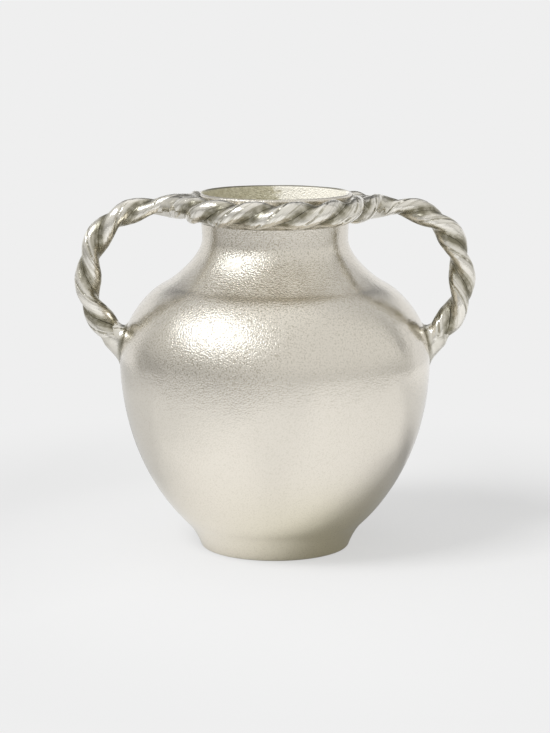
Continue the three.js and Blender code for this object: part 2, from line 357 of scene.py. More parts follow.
# The grain's depth, the share of pit colour and the roughness: where the brush has been, where it
# hasn't, there at the front left, and what wear takes off at the two sides
DEPTH_BRUSHED, DEPTH_UNBRUSHED, DEPTH_LEFT, DEPTH_WORN_OFF = 0.15 * MM, 0.25 * MM, 0.32 * MM, 0.09 * MM
PITS_BRUSHED, PITS_UNBRUSHED, PITS_LEFT = 0.22, 0.40, 0.72
ROUGH_BRUSHED, ROUGH_UNBRUSHED, ROUGH_WORN_OFF = 0.21, 0.26, 0.09
RAW_DEPTH, RAW_ROUGH = 0.40 * MM, 0.42


def new_material(name):
    material = bpy.data.materials.new(name)
    material.use_nodes = True
    material.node_tree.nodes.clear()
    return material, material.node_tree


def attribute(tree, name, output="Fac"):
    return out(add(tree, "ShaderNodeAttribute", attribute_name=name), output)


def noise_at(place, size, detail=2.0, roughness=0.5):
    return out(add(place.id_data, "ShaderNodeTexNoise",
                   {"Vector": place, "Scale": 1 / size, "Detail": detail, "Roughness": roughness}))


def bumped(layers):
    """Bump nodes laid one on another, as (height, depth, whether it is cut in)."""
    below = {}
    for height, depth, cut_in in layers:
        bump = add(height.id_data, "ShaderNodeBump",
                   {"Strength": 1.0, "Distance": depth, "Height": height, **below}, invert=cut_in)
        below = {"Normal": out(bump)}
    return out(bump)


def cast_metal(name, tint, shadow_reflection_tint, pit_tint, raw_shade_and_light_tints, crest_shade_tint):
    """Brushed casting, and raw casting where the attribute "raw" is 1, as inside the mouth.

    The brush reaches the belly better than the neck, so the pits of the grain are deeper and duller up
    there, most of all at the front left, while the two sides are worn smooth. Near the foot, and most on the
    right, the colour is painted darker and more olive, as a painted reflection of the floor's shadow. The raw
    skin is painted as shaded, a dull olive, on its left and as lit, a paler cream, on its right, and a dark
    line is painted along the crest of the lip at the back, as a painted reflection of the rope behind it.
    """
    material, tree = new_material(name)
    place = out(add(tree, "ShaderNodeTexCoord"), "Object")
    x, y, z = parts_of(place)
    raw = attribute(tree, "raw")
    grain = noise_at(place, GRAIN, detail=1.0)
    peel, dimple = noise_at(place, PEEL), noise_at(place, DIMPLE)
    flattened = out(add(tree, "ShaderNodeMapping", {"Vector": place, "Scale": (0.55, 0.55, 1.0)}))
    cloud = noise_at(flattened, CLOUD, 3.0, 0.6)

    # Where the brush has been
    from_axis = vector_of("LENGTH", joined(x, y))
    sideways = math_of("DIVIDE", math_of("ABSOLUTE", x), from_axis)
    worn = between(sideways, 0.62, 0.80, smooth=True)
    left = between(x, -20 * MM, 25 * MM, 1.0, 0.0, smooth=True)
    raised = math_of("MULTIPLY_ADD", left, 22 * MM, z)
    high = between(raised, (SHOULDER - 48) * MM, (SHOULDER - 4) * MM, smooth=True)
    unbrushed = product(high, from_to(worn, 1.0, 0.45))

    # Colour of the brushed skin
    # Near the foot, and most on the right, a painted reflection of the floor's shadow: darker and more olive
    low = between(z, 12 * MM, 66 * MM, 1.0, 0.0, smooth=True)
    painted_shadow_share = product(low, between(x, -35 * MM, 30 * MM, 0.15, 1.0))
    buffed = mix_colour(painted_shadow_share, linear(tint), linear(shadow_reflection_tint))
    pits = from_to(unbrushed, PITS_BRUSHED, from_to(left, PITS_UNBRUSHED, PITS_LEFT))
    pitted = product(between(grain, 0.30, 0.50, 1.0, 0.0), pits)
    brushed = mix_colour(pitted, buffed, linear(pit_tint))

    # Colour of the raw skin: painted shade, olive, on the left and painted light, cream, on the right of a
    # broken edge
    speckle = math_of("MULTIPLY_ADD", peel, 14 * MM, x)
    edge = math_of("MULTIPLY_ADD", dimple, 22 * MM, speckle)
    pale = between(edge, 12 * MM, 24 * MM, smooth=True)
    mottle = between(peel, 0.35, 0.65, 0.0, 0.5)
    olive = mix_colour(mottle, linear(raw_shade_and_light_tints[0]), linear(raw_shade_and_light_tints[1]))
    raw_colour = mix_colour(pale, olive, linear(raw_shade_and_light_tints[2]))
    colour = mix_colour(raw, brushed, raw_colour)
    # A dark line painted on the crest of the lip at the back: a painted reflection of the rope behind it
    crest = product(between(z, (HEIGHT - 1.0) * MM, (HEIGHT - 0.5) * MM), between(y, 5 * MM, 20 * MM), 0.85)
    colour = mix_colour(crest, colour, linear(crest_shade_tint))

    # Surface: the raw skin is duller, less of a metal and coarser
    metal = from_to(raw, 1.0, from_to(pale, 0.6, 0.15))
    brushed_rough = math_of("SUBTRACT", from_to(unbrushed, ROUGH_BRUSHED, ROUGH_UNBRUSHED),
                            from_to(worn, 0.0, ROUGH_WORN_OFF))
    clouded = math_of("ADD", between(cloud, 0.3, 0.7, -0.02, 0.02), brushed_rough)
    rough = from_to(raw, clouded, RAW_ROUGH)
    front_depth = from_to(left, DEPTH_UNBRUSHED, DEPTH_LEFT)
    brushed_depth = math_of("SUBTRACT", from_to(unbrushed, DEPTH_BRUSHED, front_depth),
                            from_to(worn, 0.0, DEPTH_WORN_OFF))
    grain_depth = math_of("MULTIPLY_ADD", raw, RAW_DEPTH, brushed_depth)
    normal = bumped([(dimple, DIMPLE_DEPTH, False), (peel, PEEL_DEPTH, False), (grain, grain_depth, False)])
    shader = add(tree, "ShaderNodeBsdfPrincipled",
                 {"Base Color": colour, "Metallic": metal, "Roughness": rough, "Normal": normal})
    add(tree, "ShaderNodeOutputMaterial", {"Surface": out(shader)})
    return material


sand_cast = cast_metal("sand_cast_nickel_toned_aluminium", tint="#F1EBE0", shadow_reflection_tint="#EAE4CE",
                       pit_tint="#B4AC98", raw_shade_and_light_tints=("#C4BEA3", "#EAE6D0", "#ECE8DC"),
                       crest_shade_tint="#4A4636")
print("body finish:", sand_cast.name)

# %% [markdown]
# ## The body
#
# A body of revolution follows one rule: every point of the section goes once round the axis. A grid does
# that in geometry nodes. Its rows take their radius and height from the section, its columns take an
# angle, and the seam and the two poles are then merged. A slow, shallow unevenness stands for the
# hand-made pattern.

# %% The turned shell
WELD = 0.005 * MM
# Knots of the section where the raw skin of the underside ends and where, a few rows on, that of the
# inside begins
FOOT_KNOT, LIP_KNOT, PAST_LIP = 4, 12, 4


def turned_shell_tree():
    tree, given = new_tree("turned shell", {
        "Int": ("Columns", "Foot rows", "Lip row"),
        "Float": ("Dent depth", "Dent size", "Still height", "Seed")})
    rail = out(add(tree, "GeometryNodeCurveToMesh", {"Curve": given["Geometry"]}))
    rows = out(add(tree, "GeometryNodeAttributeDomainSize", {"Geometry": rail}), "Point Count")
    columns = math_of("ADD", given["Columns"], 1.0)
    grid = out(add(tree, "GeometryNodeMeshGrid", {"Vertices X": columns, "Vertices Y": rows}))
    index, place = out(add(tree, "GeometryNodeInputIndex")), out(add(tree, "GeometryNodeInputPosition"))
    row = math_of("MODULO", index, rows)
    column = math_of("FLOOR", math_of("DIVIDE", index, rows))
    angle = product(math_of("DIVIDE", column, given["Columns"]), 2 * math.pi)
    taken = out(add(tree, "GeometryNodeSampleIndex", {"Geometry": rail, "Value": place, "Index": row},
                    data_type="FLOAT_VECTOR", domain="POINT"))
    turned = out(add(tree, "ShaderNodeVectorRotate", {"Vector": taken, "Angle": angle},
                     rotation_type="Z_AXIS"))
    shell = out(add(tree, "GeometryNodeSetPosition", {"Geometry": grid, "Position": turned}))
    raw = math_of("MAXIMUM", math_of("GREATER_THAN", row, given["Lip row"]),
                  math_of("LESS_THAN", row, given["Foot rows"]))
    closed = out(add(tree, "GeometryNodeMergeByDistance",
                     {"Geometry": mark(shell, "raw", raw), "Distance": WELD}))
    height = parts_of(place)[2]
    depth = between(height, 0.0, given["Still height"], 0.0, given["Dent depth"], smooth=True)
    end_tree(uneven(closed, depth, given["Dent size"], given["Seed"]), given)
    return tree


body = grow("cast_body_shell", section, turned_shell_tree(), {
    "Columns": 200, "Foot rows": FOOT_KNOT * SECTION_STEPS, "Lip row": LIP_KNOT * SECTION_STEPS + PAST_LIP,
    "Dent depth": 0.7 * MM, "Dent size": 30 * MM, "Still height": 16 * MM, "Seed": 3.0,
    "Material": sand_cast})
bpy.data.objects.remove(section)
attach(body, "root")
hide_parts("vase_body")

# %% [markdown]
# ## Finish of the rope: the same metal, polished
#
# The rope stands proud, so it is buffed by hand: its crowns are nearly mirror-bright and show the room in
# hard light and dark, and the creases between the strands, which the buff misses, stay duller. They and the
# flanks are painted darker too, partly as tarnish and partly as painted shade. The crease is an attribute
# that the rope's own section carries. A file has drawn fine lines along each strand and one deeper groove,
# which the place in the strand gives; the groove is painted darker as painted shade.

# %% Material of the rope
HAMMER, DRAWN = 4.5 * MM, 2.0 * MM
HAMMER_DEPTH, DRAWN_DEPTH, GROOVE_DEPTH, BUFFED_GRAIN_DEPTH = 0.30 * MM, 0.32 * MM, 0.45 * MM, 0.06 * MM
GROOVE_AT, GROOVE_CORE, GROOVE_HALF = -2.5 * MM, 0.1 * MM, 1.3 * MM
GROOVE_DARK, STREAK_DARK = 0.55, 0.30


def polished_metal(name, tints, roughness, crease_roughness):
    """Buffed metal; the tints are of the crown, the flank and the crease of a strand, the darker two partly
    tarnish and partly painted shade.
    """
    material, tree = new_material(name)
    place = out(add(tree, "ShaderNodeTexCoord"), "Object")
    strand_place = attribute(tree, "strand_place", "Vector")
    hammer, drawn = noise_at(place, HAMMER), noise_at(strand_place, DRAWN)
    grain = noise_at(place, GRAIN, detail=1.0)
    across = parts_of(strand_place)[1]
    off_line = math_of("ABSOLUTE", math_of("SUBTRACT", across, GROOVE_AT))
    in_groove = between(off_line, GROOVE_CORE, GROOVE_HALF, 1.0, 0.0, smooth=True)
    # The groove is painted darker: painted shade in it
    groove = product(in_groove, between(hammer, 0.38, 0.55))
    blotch = between(hammer, 0.35, 0.65, 0.5, 1.3)
    # Darker towards the crease and on the flanks: partly tarnish, partly painted shade
    creased = product(attribute(tree, "crease"), blotch, clamp=True)
    streaked = math_of("ADD", creased, between(drawn, 0.52, 0.66, 0.0, STREAK_DARK))
    dark = math_of("MULTIPLY_ADD", groove, GROOVE_DARK, streaked, clamp=True)
    normal = bumped([(hammer, HAMMER_DEPTH, False), (drawn, DRAWN_DEPTH, False),
                     (groove, GROOVE_DEPTH, True), (grain, BUFFED_GRAIN_DEPTH, False)])
    shader = add(tree, "ShaderNodeBsdfPrincipled",
                 {"Base Color": colour_ramp(dark, zip((0.0, 0.4, 1.0), map(linear, tints))),
                  "Metallic": 1.0, "Roughness": from_to(dark, roughness, crease_roughness),
                  "Normal": normal})
    add(tree, "ShaderNodeOutputMaterial", {"Surface": out(shader)})
    return material


polished = polished_metal("polished_nickel_toned_aluminium", ("#FBF7EE", "#C8C3B4", "#8A8572"),
                          roughness=0.13, crease_roughness=0.34)
print("rope finish:", polished.name)

# %% [markdown]
# ## Where the ropes run
#
# The rope lies against the neck just under the lip, front and back. Near each side the two halves leave
# the neck and run together into one rope, the handle, which turns down and comes back to the shoulder.
# A path is again a Bezier curve, and an arc of 50 degrees is one to within a hundredth of a millimetre.

# %% Sizes and paths of the ropes
STRAND_RADIUS, STRAND_OFFSET = 5.25, 2.85
SEAM = 0.3
FILLET_SLOPE = STRAND_OFFSET / math.sqrt(STRAND_RADIUS ** 2 - STRAND_OFFSET ** 2) / 2
ROPE_RADIUS = STRAND_RADIUS + STRAND_OFFSET
ROPE_HEIGHT = HEIGHT - 0.2 - ROPE_RADIUS
LIP_LEAN = (LIP_RADIUS - NECK_RADIUS) / (HEIGHT - LIP_ROUND - NECK)
RING_REACH = NECK_RADIUS + LIP_LEAN * (ROPE_HEIGHT - NECK) + ROPE_RADIUS + SEAM
WRAP = math.radians(50)
BRANCH_X = RING_REACH + 18.0
BRANCH = np.array([BRANCH_X, 0.0, ROPE_HEIGHT - 0.2])
BACK_DROP = 1.8
TOP_SLOPE, FOOT_SLOPE = math.radians(6), math.radians(48)
BRANCH_PULL_RING, BRANCH_PULL_OUT = 16.0, 17.0
HANDLE_OUT = BELLY_RADIUS + 18.9
HANDLE_SIDE = ROPE_HEIGHT - 48.0
HANDLE_FOOT = BELLY + 9.0
TOP_PULL, SIDE_PULL_HIGH, SIDE_PULL_LOW, FOOT_PULL = 29.0, 28.0, 15.0, 13.0
RIM_HALF_TURNS = 8
HANDLE_LEAD = 52.8
HALVINGS = 40   # enough to find a place to a millionth of a millimetre


def cubic(t, p0, p1, p2, p3):
    return (1 - t) ** 3 * p0 + 3 * (1 - t) ** 2 * t * p1 + 3 * (1 - t) * t * t * p2 + t ** 3 * p3


def path_points(knots, steps):
    """Points along a path, in mm."""
    t = np.linspace(0, 1, steps)[:, None]
    return np.vstack([cubic(t, p0, p1, p2, p3) for (p0, _, p1), (p3, p2, _) in zip(knots, knots[1:])])


def run_along(points):
    """How far along a line of points each of them lies."""
    return np.concatenate([[0.0], np.cumsum(np.linalg.norm(np.diff(points, axis=0), axis=1))])


def rim_knots(face):
    """One half of the mouth's rope, from the left branch to the right one; face is -1 at the front."""
    height = ROPE_HEIGHT - (BACK_DROP if face > 0 else 0.0)
    out_heading = np.array([math.cos(TOP_SLOPE), 0.0, -math.sin(TOP_SLOPE)])
    arc_reach = 4 / 3 * math.tan(WRAP / 4) * RING_REACH
    left, left_heading = BRANCH * (-1, 1, 1), out_heading * (1, 1, -1)
    knots = [(left, left, left + left_heading * BRANCH_PULL_OUT)]
    for angle, back, on in ((-WRAP, BRANCH_PULL_RING, arc_reach), (0.0, arc_reach, arc_reach),
                            (WRAP, arc_reach, BRANCH_PULL_RING)):
        here = np.array([RING_REACH * math.sin(angle), face * RING_REACH * math.cos(angle), height])
        way = np.array([math.cos(angle), -face * math.sin(angle), 0.0])
        knots.append((here, here - way * back, here + way * on))
    knots.append((BRANCH, BRANCH - out_heading * BRANCH_PULL_OUT, BRANCH))
    return knots


def outside_radius(height):
    """The body's radius at a height between the belly and the shoulder, by halving the curve's share."""
    (r0, z0, d0, _, on), (r3, z3, d3, back, _) = OUTSIDE[2], OUTSIDE[3]
    p0, p3 = np.array([r0, z0]), np.array([r3, z3])
    p1, p2 = p0 + heading(d0) * on, p3 - heading(d3) * back
    low, high = 0.0, 1.0
    for _ in range(HALVINGS):
        t = (low + high) / 2
        point = cubic(t, p0, p1, p2, p3)
        low, high = (t, high) if point[1] < height else (low, t)
    return float(point[0])


def handle_knots(side):
    """One handle, from the branch down to the shoulder; side is 1 on the right and -1 on the left."""
    top = BRANCH * (side, 1, 1)
    top_heading = np.array([side * math.cos(TOP_SLOPE), 0.0, -math.sin(TOP_SLOPE)])
    outer = np.array([side * HANDLE_OUT, 0.0, HANDLE_SIDE])
    down = np.array([0.0, 0.0, -1.0])
    foot = np.array([side * outside_radius(HANDLE_FOOT), 0.0, HANDLE_FOOT])
    foot_heading = np.array([-side * math.cos(FOOT_SLOPE), 0.0, -math.sin(FOOT_SLOPE)])
    return [(top, top, top + top_heading * TOP_PULL),
            (outer, outer - down * SIDE_PULL_HIGH, outer + down * SIDE_PULL_LOW),
            (foot, foot - foot_heading * FOOT_PULL, foot)]


print("rope ring of radius", round(RING_REACH, 2), "mm, branches at", round(BRANCH_X, 2), "mm")

# %% [markdown]
# ## A twisted strand
#
# Two round strands that are wound together press flat against each other, so each has a D-shaped
# section, off the rope's middle. The tree sweeps that section along the path and turns it as it goes.
# The flat is made by a smooth maximum, which also rounds its corners: that leaves the soft dark crease
# that a cast rope has. Near a joint the rope is drawn in a little, as a brazed joint shows a fine line.
# The side that faces the middle of a handle is marked too: it is made rougher and painted darker, as painted
# shade.

# %% The tree of a twisted strand
CREASE_FULL, CREASE_GONE = 0.2 * MM, 6.6 * MM   # from the flat to the crown of a strand
LINE_SHARE = 0.11                               # drawn lines are nine times as long as they are wide


def twisted_strand_tree():
    tree, given = new_tree("twisted strand", {
        "Float": ("Strand radius", "Strand offset", "Half seam", "Fillet", "Step", "First turn",
                  "Turn per metre", "Start size", "Start reach", "End size", "End reach", "Dull and shaded inside",
                  "Dent depth", "Dent size", "Seed"),
        "Int": ("Sides",), "Bool": ("Level",), "Vector": ("Side", "Loop middle")})
    place = out(add(tree, "GeometryNodeInputPosition"))
    x, y, _ = parts_of(place)

    # The path, with the direction that the section's x axis takes and its turn
    path = out(add(tree, "GeometryNodeResampleCurve", {"Curve": given["Geometry"], "Length": given["Step"]},
                   mode="LENGTH"))
    tangent = out(add(tree, "GeometryNodeInputTangent"))
    level = vector_of("NORMALIZE", vector_of("CROSS_PRODUCT", (0, 0, 1), tangent))
    side = out(add(tree, "GeometryNodeSwitch",
                   {"Switch": given["Level"], "False": given["Side"], "True": level}, input_type="VECTOR"))
    framed = out(add(tree, "GeometryNodeSetCurveNormal", {"Curve": path, "Normal": side}, mode="FREE"))
    length = out(add(tree, "GeometryNodeSplineParameter"), "Length")
    whole = out(add(tree, "GeometryNodeSplineLength"), "Length")
    turn = math_of("MULTIPLY_ADD", length, given["Turn per metre"], given["First turn"])
    tilted = out(add(tree, "GeometryNodeSetCurveTilt", {"Curve": framed, "Tilt": turn}))
    left = math_of("SUBTRACT", whole, length)
    size = math_of("MINIMUM",
                   between(length, 0.0, given["Start reach"], given["Start size"], 1.0, smooth=True),
                   between(left, 0.0, given["End reach"], given["End size"], 1.0, smooth=True))

    # The section: a circle moved off the middle, pressed flat, with its corners swollen round
    ring = out(add(tree, "GeometryNodeCurvePrimitiveCircle",
                   {"Resolution": given["Sides"], "Radius": given["Strand radius"]}, mode="RADIUS"))
    shifted = math_of("ADD", x, given["Strand offset"])
    pressed = math_of("MAXIMUM", shifted, given["Half seam"])
    near = between(pressed, 0.0, given["Fillet"], 1.0, 0.0)
    swell = product(math_of("POWER", near, 2.0), product(given["Fillet"], FILLET_SLOPE))
    lifted = math_of("MULTIPLY_ADD", math_of("SIGN", y), swell, y)
    section = out(add(tree, "GeometryNodeSetPosition",
                      {"Geometry": ring, "Position": joined(pressed, lifted)}))
    # The crease mark, which the finish paints darker: partly tarnish, partly painted shade
    crease = between(x, CREASE_FULL, CREASE_GONE, 1.0, 0.0, smooth=True)
    creased = mark(section, "crease", crease)
    placed = mark(creased, "strand_place", place, "FLOAT_VECTOR")

    # The sweep, with what the finish reads from it
    swept = out(add(tree, "GeometryNodeCurveToMesh",
                    {"Curve": mark(tilted, "run", length), "Profile Curve": placed, "Scale": size,
                     "Fill Caps": True}))
    slow = math_of("MULTIPLY_ADD", marked(tree, "run"), LINE_SHARE, given["Seed"])
    in_strand = vector_of("ADD", marked(tree, "strand_place", "FLOAT_VECTOR"), joined(0.0, 0.0, slow))
    lined = mark(swept, "strand_place", in_strand, "FLOAT_VECTOR")
    inwards = vector_of("NORMALIZE", vector_of("SUBTRACT", given["Loop middle"], place))
    facing = vector_of("DOT_PRODUCT", inwards, out(add(tree, "GeometryNodeInputNormal")))
    # The inner side is made rougher and painted darker: painted shade, as it faces the vase
    dull_and_shaded_inside = between(facing, 0.1, 0.8, 0.0, given["Dull and shaded inside"], smooth=True)
    inside_dull_and_shaded = mark(lined, "crease", math_of("MAXIMUM", marked(tree, "crease"), dull_and_shaded_inside))
    end_tree(uneven(inside_dull_and_shaded, given["Dent depth"], given["Dent size"], given["Seed"]), given)
    return tree


strand_tree = twisted_strand_tree()
print("strand tree with", len(strand_tree.nodes), "nodes")

# %% [markdown]
# ## The ropes
#
# The strands are numbered a and b and lie half a turn apart. Round the mouth there are eight half turns,
# so that the strands of the handles carry on from its ends.

# %% Strands of the mouth's rope and the handles
LENGTH_STEPS = 200


def strand(name, node, knots, first_turn, turn_per_mm, **values):
    path = bezier_object(name + "_path", knots, lambda p: tuple(p * MM), resolution=40)
    piece = grow(name, path, strand_tree, {
        "Strand radius": STRAND_RADIUS * MM, "Strand offset": STRAND_OFFSET * MM, "Half seam": 0.03 * MM,
        "Fillet": 2.4 * MM, "Sides": 48, "Step": 1.3 * MM, "First turn": first_turn,
        "Turn per metre": turn_per_mm / MM, "Start size": 0.78, "Start reach": 25 * MM, "End size": 0.78,
        "End reach": 25 * MM, "Dent depth": 0.9 * MM, "Dent size": 9 * MM, "Material": polished, **values})
    bpy.data.objects.remove(path)
    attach(piece, "root")
    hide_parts(node)


# The back rope is drawn in further at its ends, to run under the front one
BACK_ENDS = {"Start size": 0.5, "End size": 0.5, "Start reach": 40 * MM, "End reach": 40 * MM}
for letter, phase in (("a", 0.0), ("b", math.pi)):
    for name, face in (("front", -1), ("back", 1)):
        knots = rim_knots(face)
        rate = -RIM_HALF_TURNS * math.pi / run_along(path_points(knots, LENGTH_STEPS))[-1]
        strand(f"{name}_rim_rope_strand_{letter}", f"{name}_rim_strand_{letter}", knots, phase, rate,
               Level=True, Seed=1.0 + phase + face, **(BACK_ENDS if face > 0 else {}))
    for name, side in (("left", -1), ("right", 1)):
        first = phase + (math.pi if side < 0 else 0.0)
        strand(f"{name}_handle_rope_strand_{letter}", f"{name}_handle_strand_{letter}", handle_knots(side),
               first, -2 * math.pi / HANDLE_LEAD, Level=False, Side=(0.0, side, 0.0),
               Seed=7.0 + phase + side,
               **{"End size": 0.8, "End reach": 1.6 * MM, "Dull and shaded inside": 0.85,
                  "Loop middle": (side * (BRANCH_X + 8) * MM, 0.0, (HANDLE_SIDE + 4) * MM)})

# %% [markdown]
# ## The metal between the ropes and the neck
#
# The rope is joined to the neck by metal that has run into the groove between them, and at each side, where
# the ropes part, a thin web fills the sharp corner. It is one ring of sections round the neck. Each section
# starts inside the neck wall and ends inside the rope, so only its top and underside show.

# %% Web round the neck
WEB_TOP, WEB_BOTTOM, WEB_SPOKES = HEIGHT - 4.0, HEIGHT - 18.2, 240
WEB_PARTS_AT, WEB_SIDE_REACH = 0.72, 9.0   # how far round it leaves the neck, as a cosine, and by how much
RISE_FRONT_LEFT, RISE_FRONT_RIGHT, RISE_BACK = 3.3, 2.3, -1.2   # of its top, where the ropes part
MIDDLE_STEPS = 60


def grid_faces(rows, columns, rows_close=False, columns_close=False):
    """Faces between neighbouring rows of points, each as long as the next."""
    faces = []
    for row in range(rows if rows_close else rows - 1):
        here, there = row * columns, (row + 1) % rows * columns
        for i in range(columns if columns_close else columns - 1):
            after = (i + 1) % columns
            faces.append((here + i, here + after, there + after, there + i))
    return faces


def polished_piece(name, points, faces, dulls_and_shades):
    """A closed piece of polished metal from points in mm, and how dull each of them is and how much shade is
    painted on it.
    """
    mesh = bpy.data.meshes.new(name)
    mesh.from_pydata((np.array(points) * MM).tolist(), [], faces)
    mesh.validate()
    volume = sum(mesh.vertices[f[0]].co.dot(mesh.vertices[f[j]].co.cross(mesh.vertices[f[j + 1]].co))
                 for f in faces for j in range(1, len(f) - 1))
    if volume < 0:
        mesh.flip_normals()
    mesh.polygons.foreach_set("use_smooth", [True] * len(mesh.polygons))
    mesh.materials.append(polished)
    mesh.attributes.new("crease", "FLOAT", "POINT").data.foreach_set("value", dulls_and_shades)
    piece = keep(name, mesh)
    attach(piece, "root")
    return piece


def neck_web():
    """A ring whose outer edge follows the ropes, as (radius, height) at each angle round the axis."""
    reach = np.zeros(WEB_SPOKES)
    angles = np.linspace(0, 2 * math.pi, WEB_SPOKES, endpoint=False)
    for face in (-1, 1):
        path = path_points(rim_knots(face), MIDDLE_STEPS)
        bearing = np.unwrap(np.arctan2(path[:, 1], path[:, 0]))
        order = np.argsort(bearing)
        bearing, distance = bearing[order], np.hypot(path[:, 0], path[:, 1])[order]
        for turn in (-2 * math.pi, 0, 2 * math.pi):
            turned = angles + turn
            inside = (turned >= bearing[0] - 1e-6) & (turned <= bearing[-1] + 1e-6)
            reach[inside] = np.interp(turned[inside], bearing, distance)
    side = np.clip((np.abs(np.cos(angles)) - WEB_PARTS_AT) / (1 - WEB_PARTS_AT), 0, 1)
    reach = np.minimum(reach, RING_REACH + WEB_SIDE_REACH * side ** 2)
    points, dulls_and_shades = [], []
    for angle, far, sideways in zip(angles, reach, side):
        front_rise = RISE_FRONT_LEFT if math.cos(angle) < 0 else RISE_FRONT_RIGHT
        top = WEB_TOP + (front_rise if angle > math.pi else RISE_BACK) * sideways ** 2
        bare = 0.9 - 0.6 * sideways
        # From the neck up under the lip, out over the top, and back along the underside
        # The third number is how dull each point is and how much shade is painted on it: most under the lip,
        # against the neck and along the underside
        for radius, height, dull_and_shade in (
                (NECK_RADIUS + 0.2, WEB_BOTTOM, 0.8), (LIP_RADIUS - 0.9, top + 1.2, 0.9),
                (LIP_RADIUS + 0.6, top + 0.3, 0.9), (LIP_RADIUS + 2.2, top, bare),
                (far - 2.5, top, bare), (far - 0.6, top - 1.2, bare), (far, top - 3.0, bare),
                (RING_REACH + 0.5, HEIGHT - 14.2, 0.6), (RING_REACH - 3.0, HEIGHT - 15.2, 0.6),
                (RING_REACH - 6.5, HEIGHT - 16.4, 0.6), (NECK_RADIUS + 1.2, WEB_BOTTOM + 0.6, 0.8)):
            points.append((radius * math.cos(angle), radius * math.sin(angle), height))
            dulls_and_shades.append(dull_and_shade)
    faces = grid_faces(WEB_SPOKES, len(points) // WEB_SPOKES, rows_close=True, columns_close=True)
    return polished_piece("mouth_rope_web", points, faces, dulls_and_shades)


web = neck_web()
print("web reaches", round(max(math.hypot(v.co.x, v.co.y) for v in web.data.vertices) / MM, 1),
      "mm from the axis")

# %% [markdown]
# ## The fused stretch at each branch
#
# Where the front rope parts from the neck and becomes the handle, the founder's metal has run into its
# grooves, so that its strands hardly stand out and its underside is one smooth line. A spindle of metal
# inside the rope does this: thin and hidden at its ends, and nearly as thick as the rope in its middle. It
# is a loft of rings on the rope's path, a little flattened here and there as by a file, and duller and
# painted darker in those hollows.

# %% Metal in the grooves at the branches
CORE_MIDDLE, CORE_HALF = -16.0, 23.0
CORE_THIN, CORE_THICK, CORE_DROP = 2.8, 7.0, 0.5
CORE_AROUND, CORE_RINGS = 48, 57
CORE_DULL = 0.15

# Filed hollows: place along the rope, angle from level, length, spread of the angle, depth, and how much
# duller and darker each is painted
RIGHT_HOLLOWS = [(-5.0, 60, 6.0, 24, 0.5, 0.8), (-19.0, 20, 4.0, 30, 0.9, 0.75),
                 (-12.0, -25, 3.0, 20, 0.5, 0.5)]
LEFT_HOLLOWS = [(-23.0, 15, 3.5, 26, 1.5, 0.9), (-6.0, 75, 7.0, 20, 0.4, 0.7)]


def fused_core(name, side, hollows):
    rim = path_points(rim_knots(-1), MIDDLE_STEPS)
    rim = rim if side > 0 else rim[::-1]
    line = np.vstack([rim, path_points(handle_knots(side), MIDDLE_STEPS)[1:]])
    run = run_along(line)
    run = run - run[len(rim) - 1]
    places = np.linspace(CORE_MIDDLE - CORE_HALF, CORE_MIDDLE + CORE_HALF, CORE_RINGS)
    middles = np.stack([np.interp(places, run, line[:, i]) for i in range(3)], axis=1)
    points, dulls_and_shades = [], []
    for place, middle, way in zip(places, middles, np.gradient(middles, axis=0)):
        way = way / np.linalg.norm(way)
        level = np.cross((0, 0, side), way)
        level = -level / np.linalg.norm(level)
        upright = np.array([0, 0, 1]) - way * way[2]
        swell = math.cos((place - CORE_MIDDLE) / CORE_HALF * math.pi / 2)
        for k in range(CORE_AROUND):
            angle = 360 * k / CORE_AROUND
            cut, dull_and_shade = 0.0, CORE_DULL
            for where, turn, length, spread, depth, darkening in hollows:
                away = (angle - turn + 180) % 360 - 180
                strength = math.exp(-((place - where) / length) ** 2 - (away / spread) ** 2)
                cut, dull_and_shade = cut + depth * strength, dull_and_shade + darkening * strength
            reach = CORE_THIN + (CORE_THICK - CORE_THIN) * swell - cut
            around = level * math.cos(math.radians(angle)) + upright * math.sin(math.radians(angle))
            points.append(middle - (0, 0, CORE_DROP * swell) + around * reach)
            dulls_and_shades.append(min(dull_and_shade, 1.0))
    last = (CORE_RINGS - 1) * CORE_AROUND
    faces = grid_faces(CORE_RINGS, CORE_AROUND, columns_close=True)
    faces += [tuple(range(CORE_AROUND))[::-1], tuple(range(last, last + CORE_AROUND))]
    polished_piece(name, points, faces, dulls_and_shades)


fused_core("left_branch_core", -1, LEFT_HOLLOWS)
fused_core("right_branch_core", 1, RIGHT_HOLLOWS)

# %% [markdown]
# ## Where each handle lands
#
# On the real vase the strands melt into a small flared foot, and metal fills the corner between it and
# the shoulder. Each foot here is a loft of rings about the handle's path. Its top ring is hidden just
# inside the strands, then the rings grow from the rope's own outline to a plain round, so that the foot
# rises out of the creases first, and the last rings roll outwards on to the shoulder as a fillet. The
# underside starts higher up and is fuller, because the molten metal has run down there.

# %% Feet of the handles
FOOT_RISE, FILLET_UP, FILLET_OUT, KNEE_UP = 10.5, 4.2, 3.6, 0.4
FOOT_ROUND, FOOT_SWELL = 7.9, 0.3
UNDER_RISE, UNDER_ROUND, UNDER_FULL = 10.5, 8.7, 0.42
SUNK = 0.45
HEM_OUT, SKIRT_OUT, SKIRT_DOWN = 0.8, 4.0, 2.2   # hidden rings, past the fillet and under the shoulder
AROUND, FOOT_STEPS, RISE_RINGS, FILLET_RINGS = 72, 400, 12, 12
LANDING_RANGE = 14.0
# How dull the foot is along its rings, from the strands to the shoulder, and how much shade is painted on it:
# darkest at the shoulder, as painted shade where the foot meets the body
DULL_AND_SHADE_RINGS, DULL_AND_SHADE = (0, 8, 13, 20), (0.35, 0.10, 0.10, 0.75, 1.0)


def eased(share):
    return share * share * (3 - 2 * share)


def unit(vector):
    return vector / np.linalg.norm(vector)


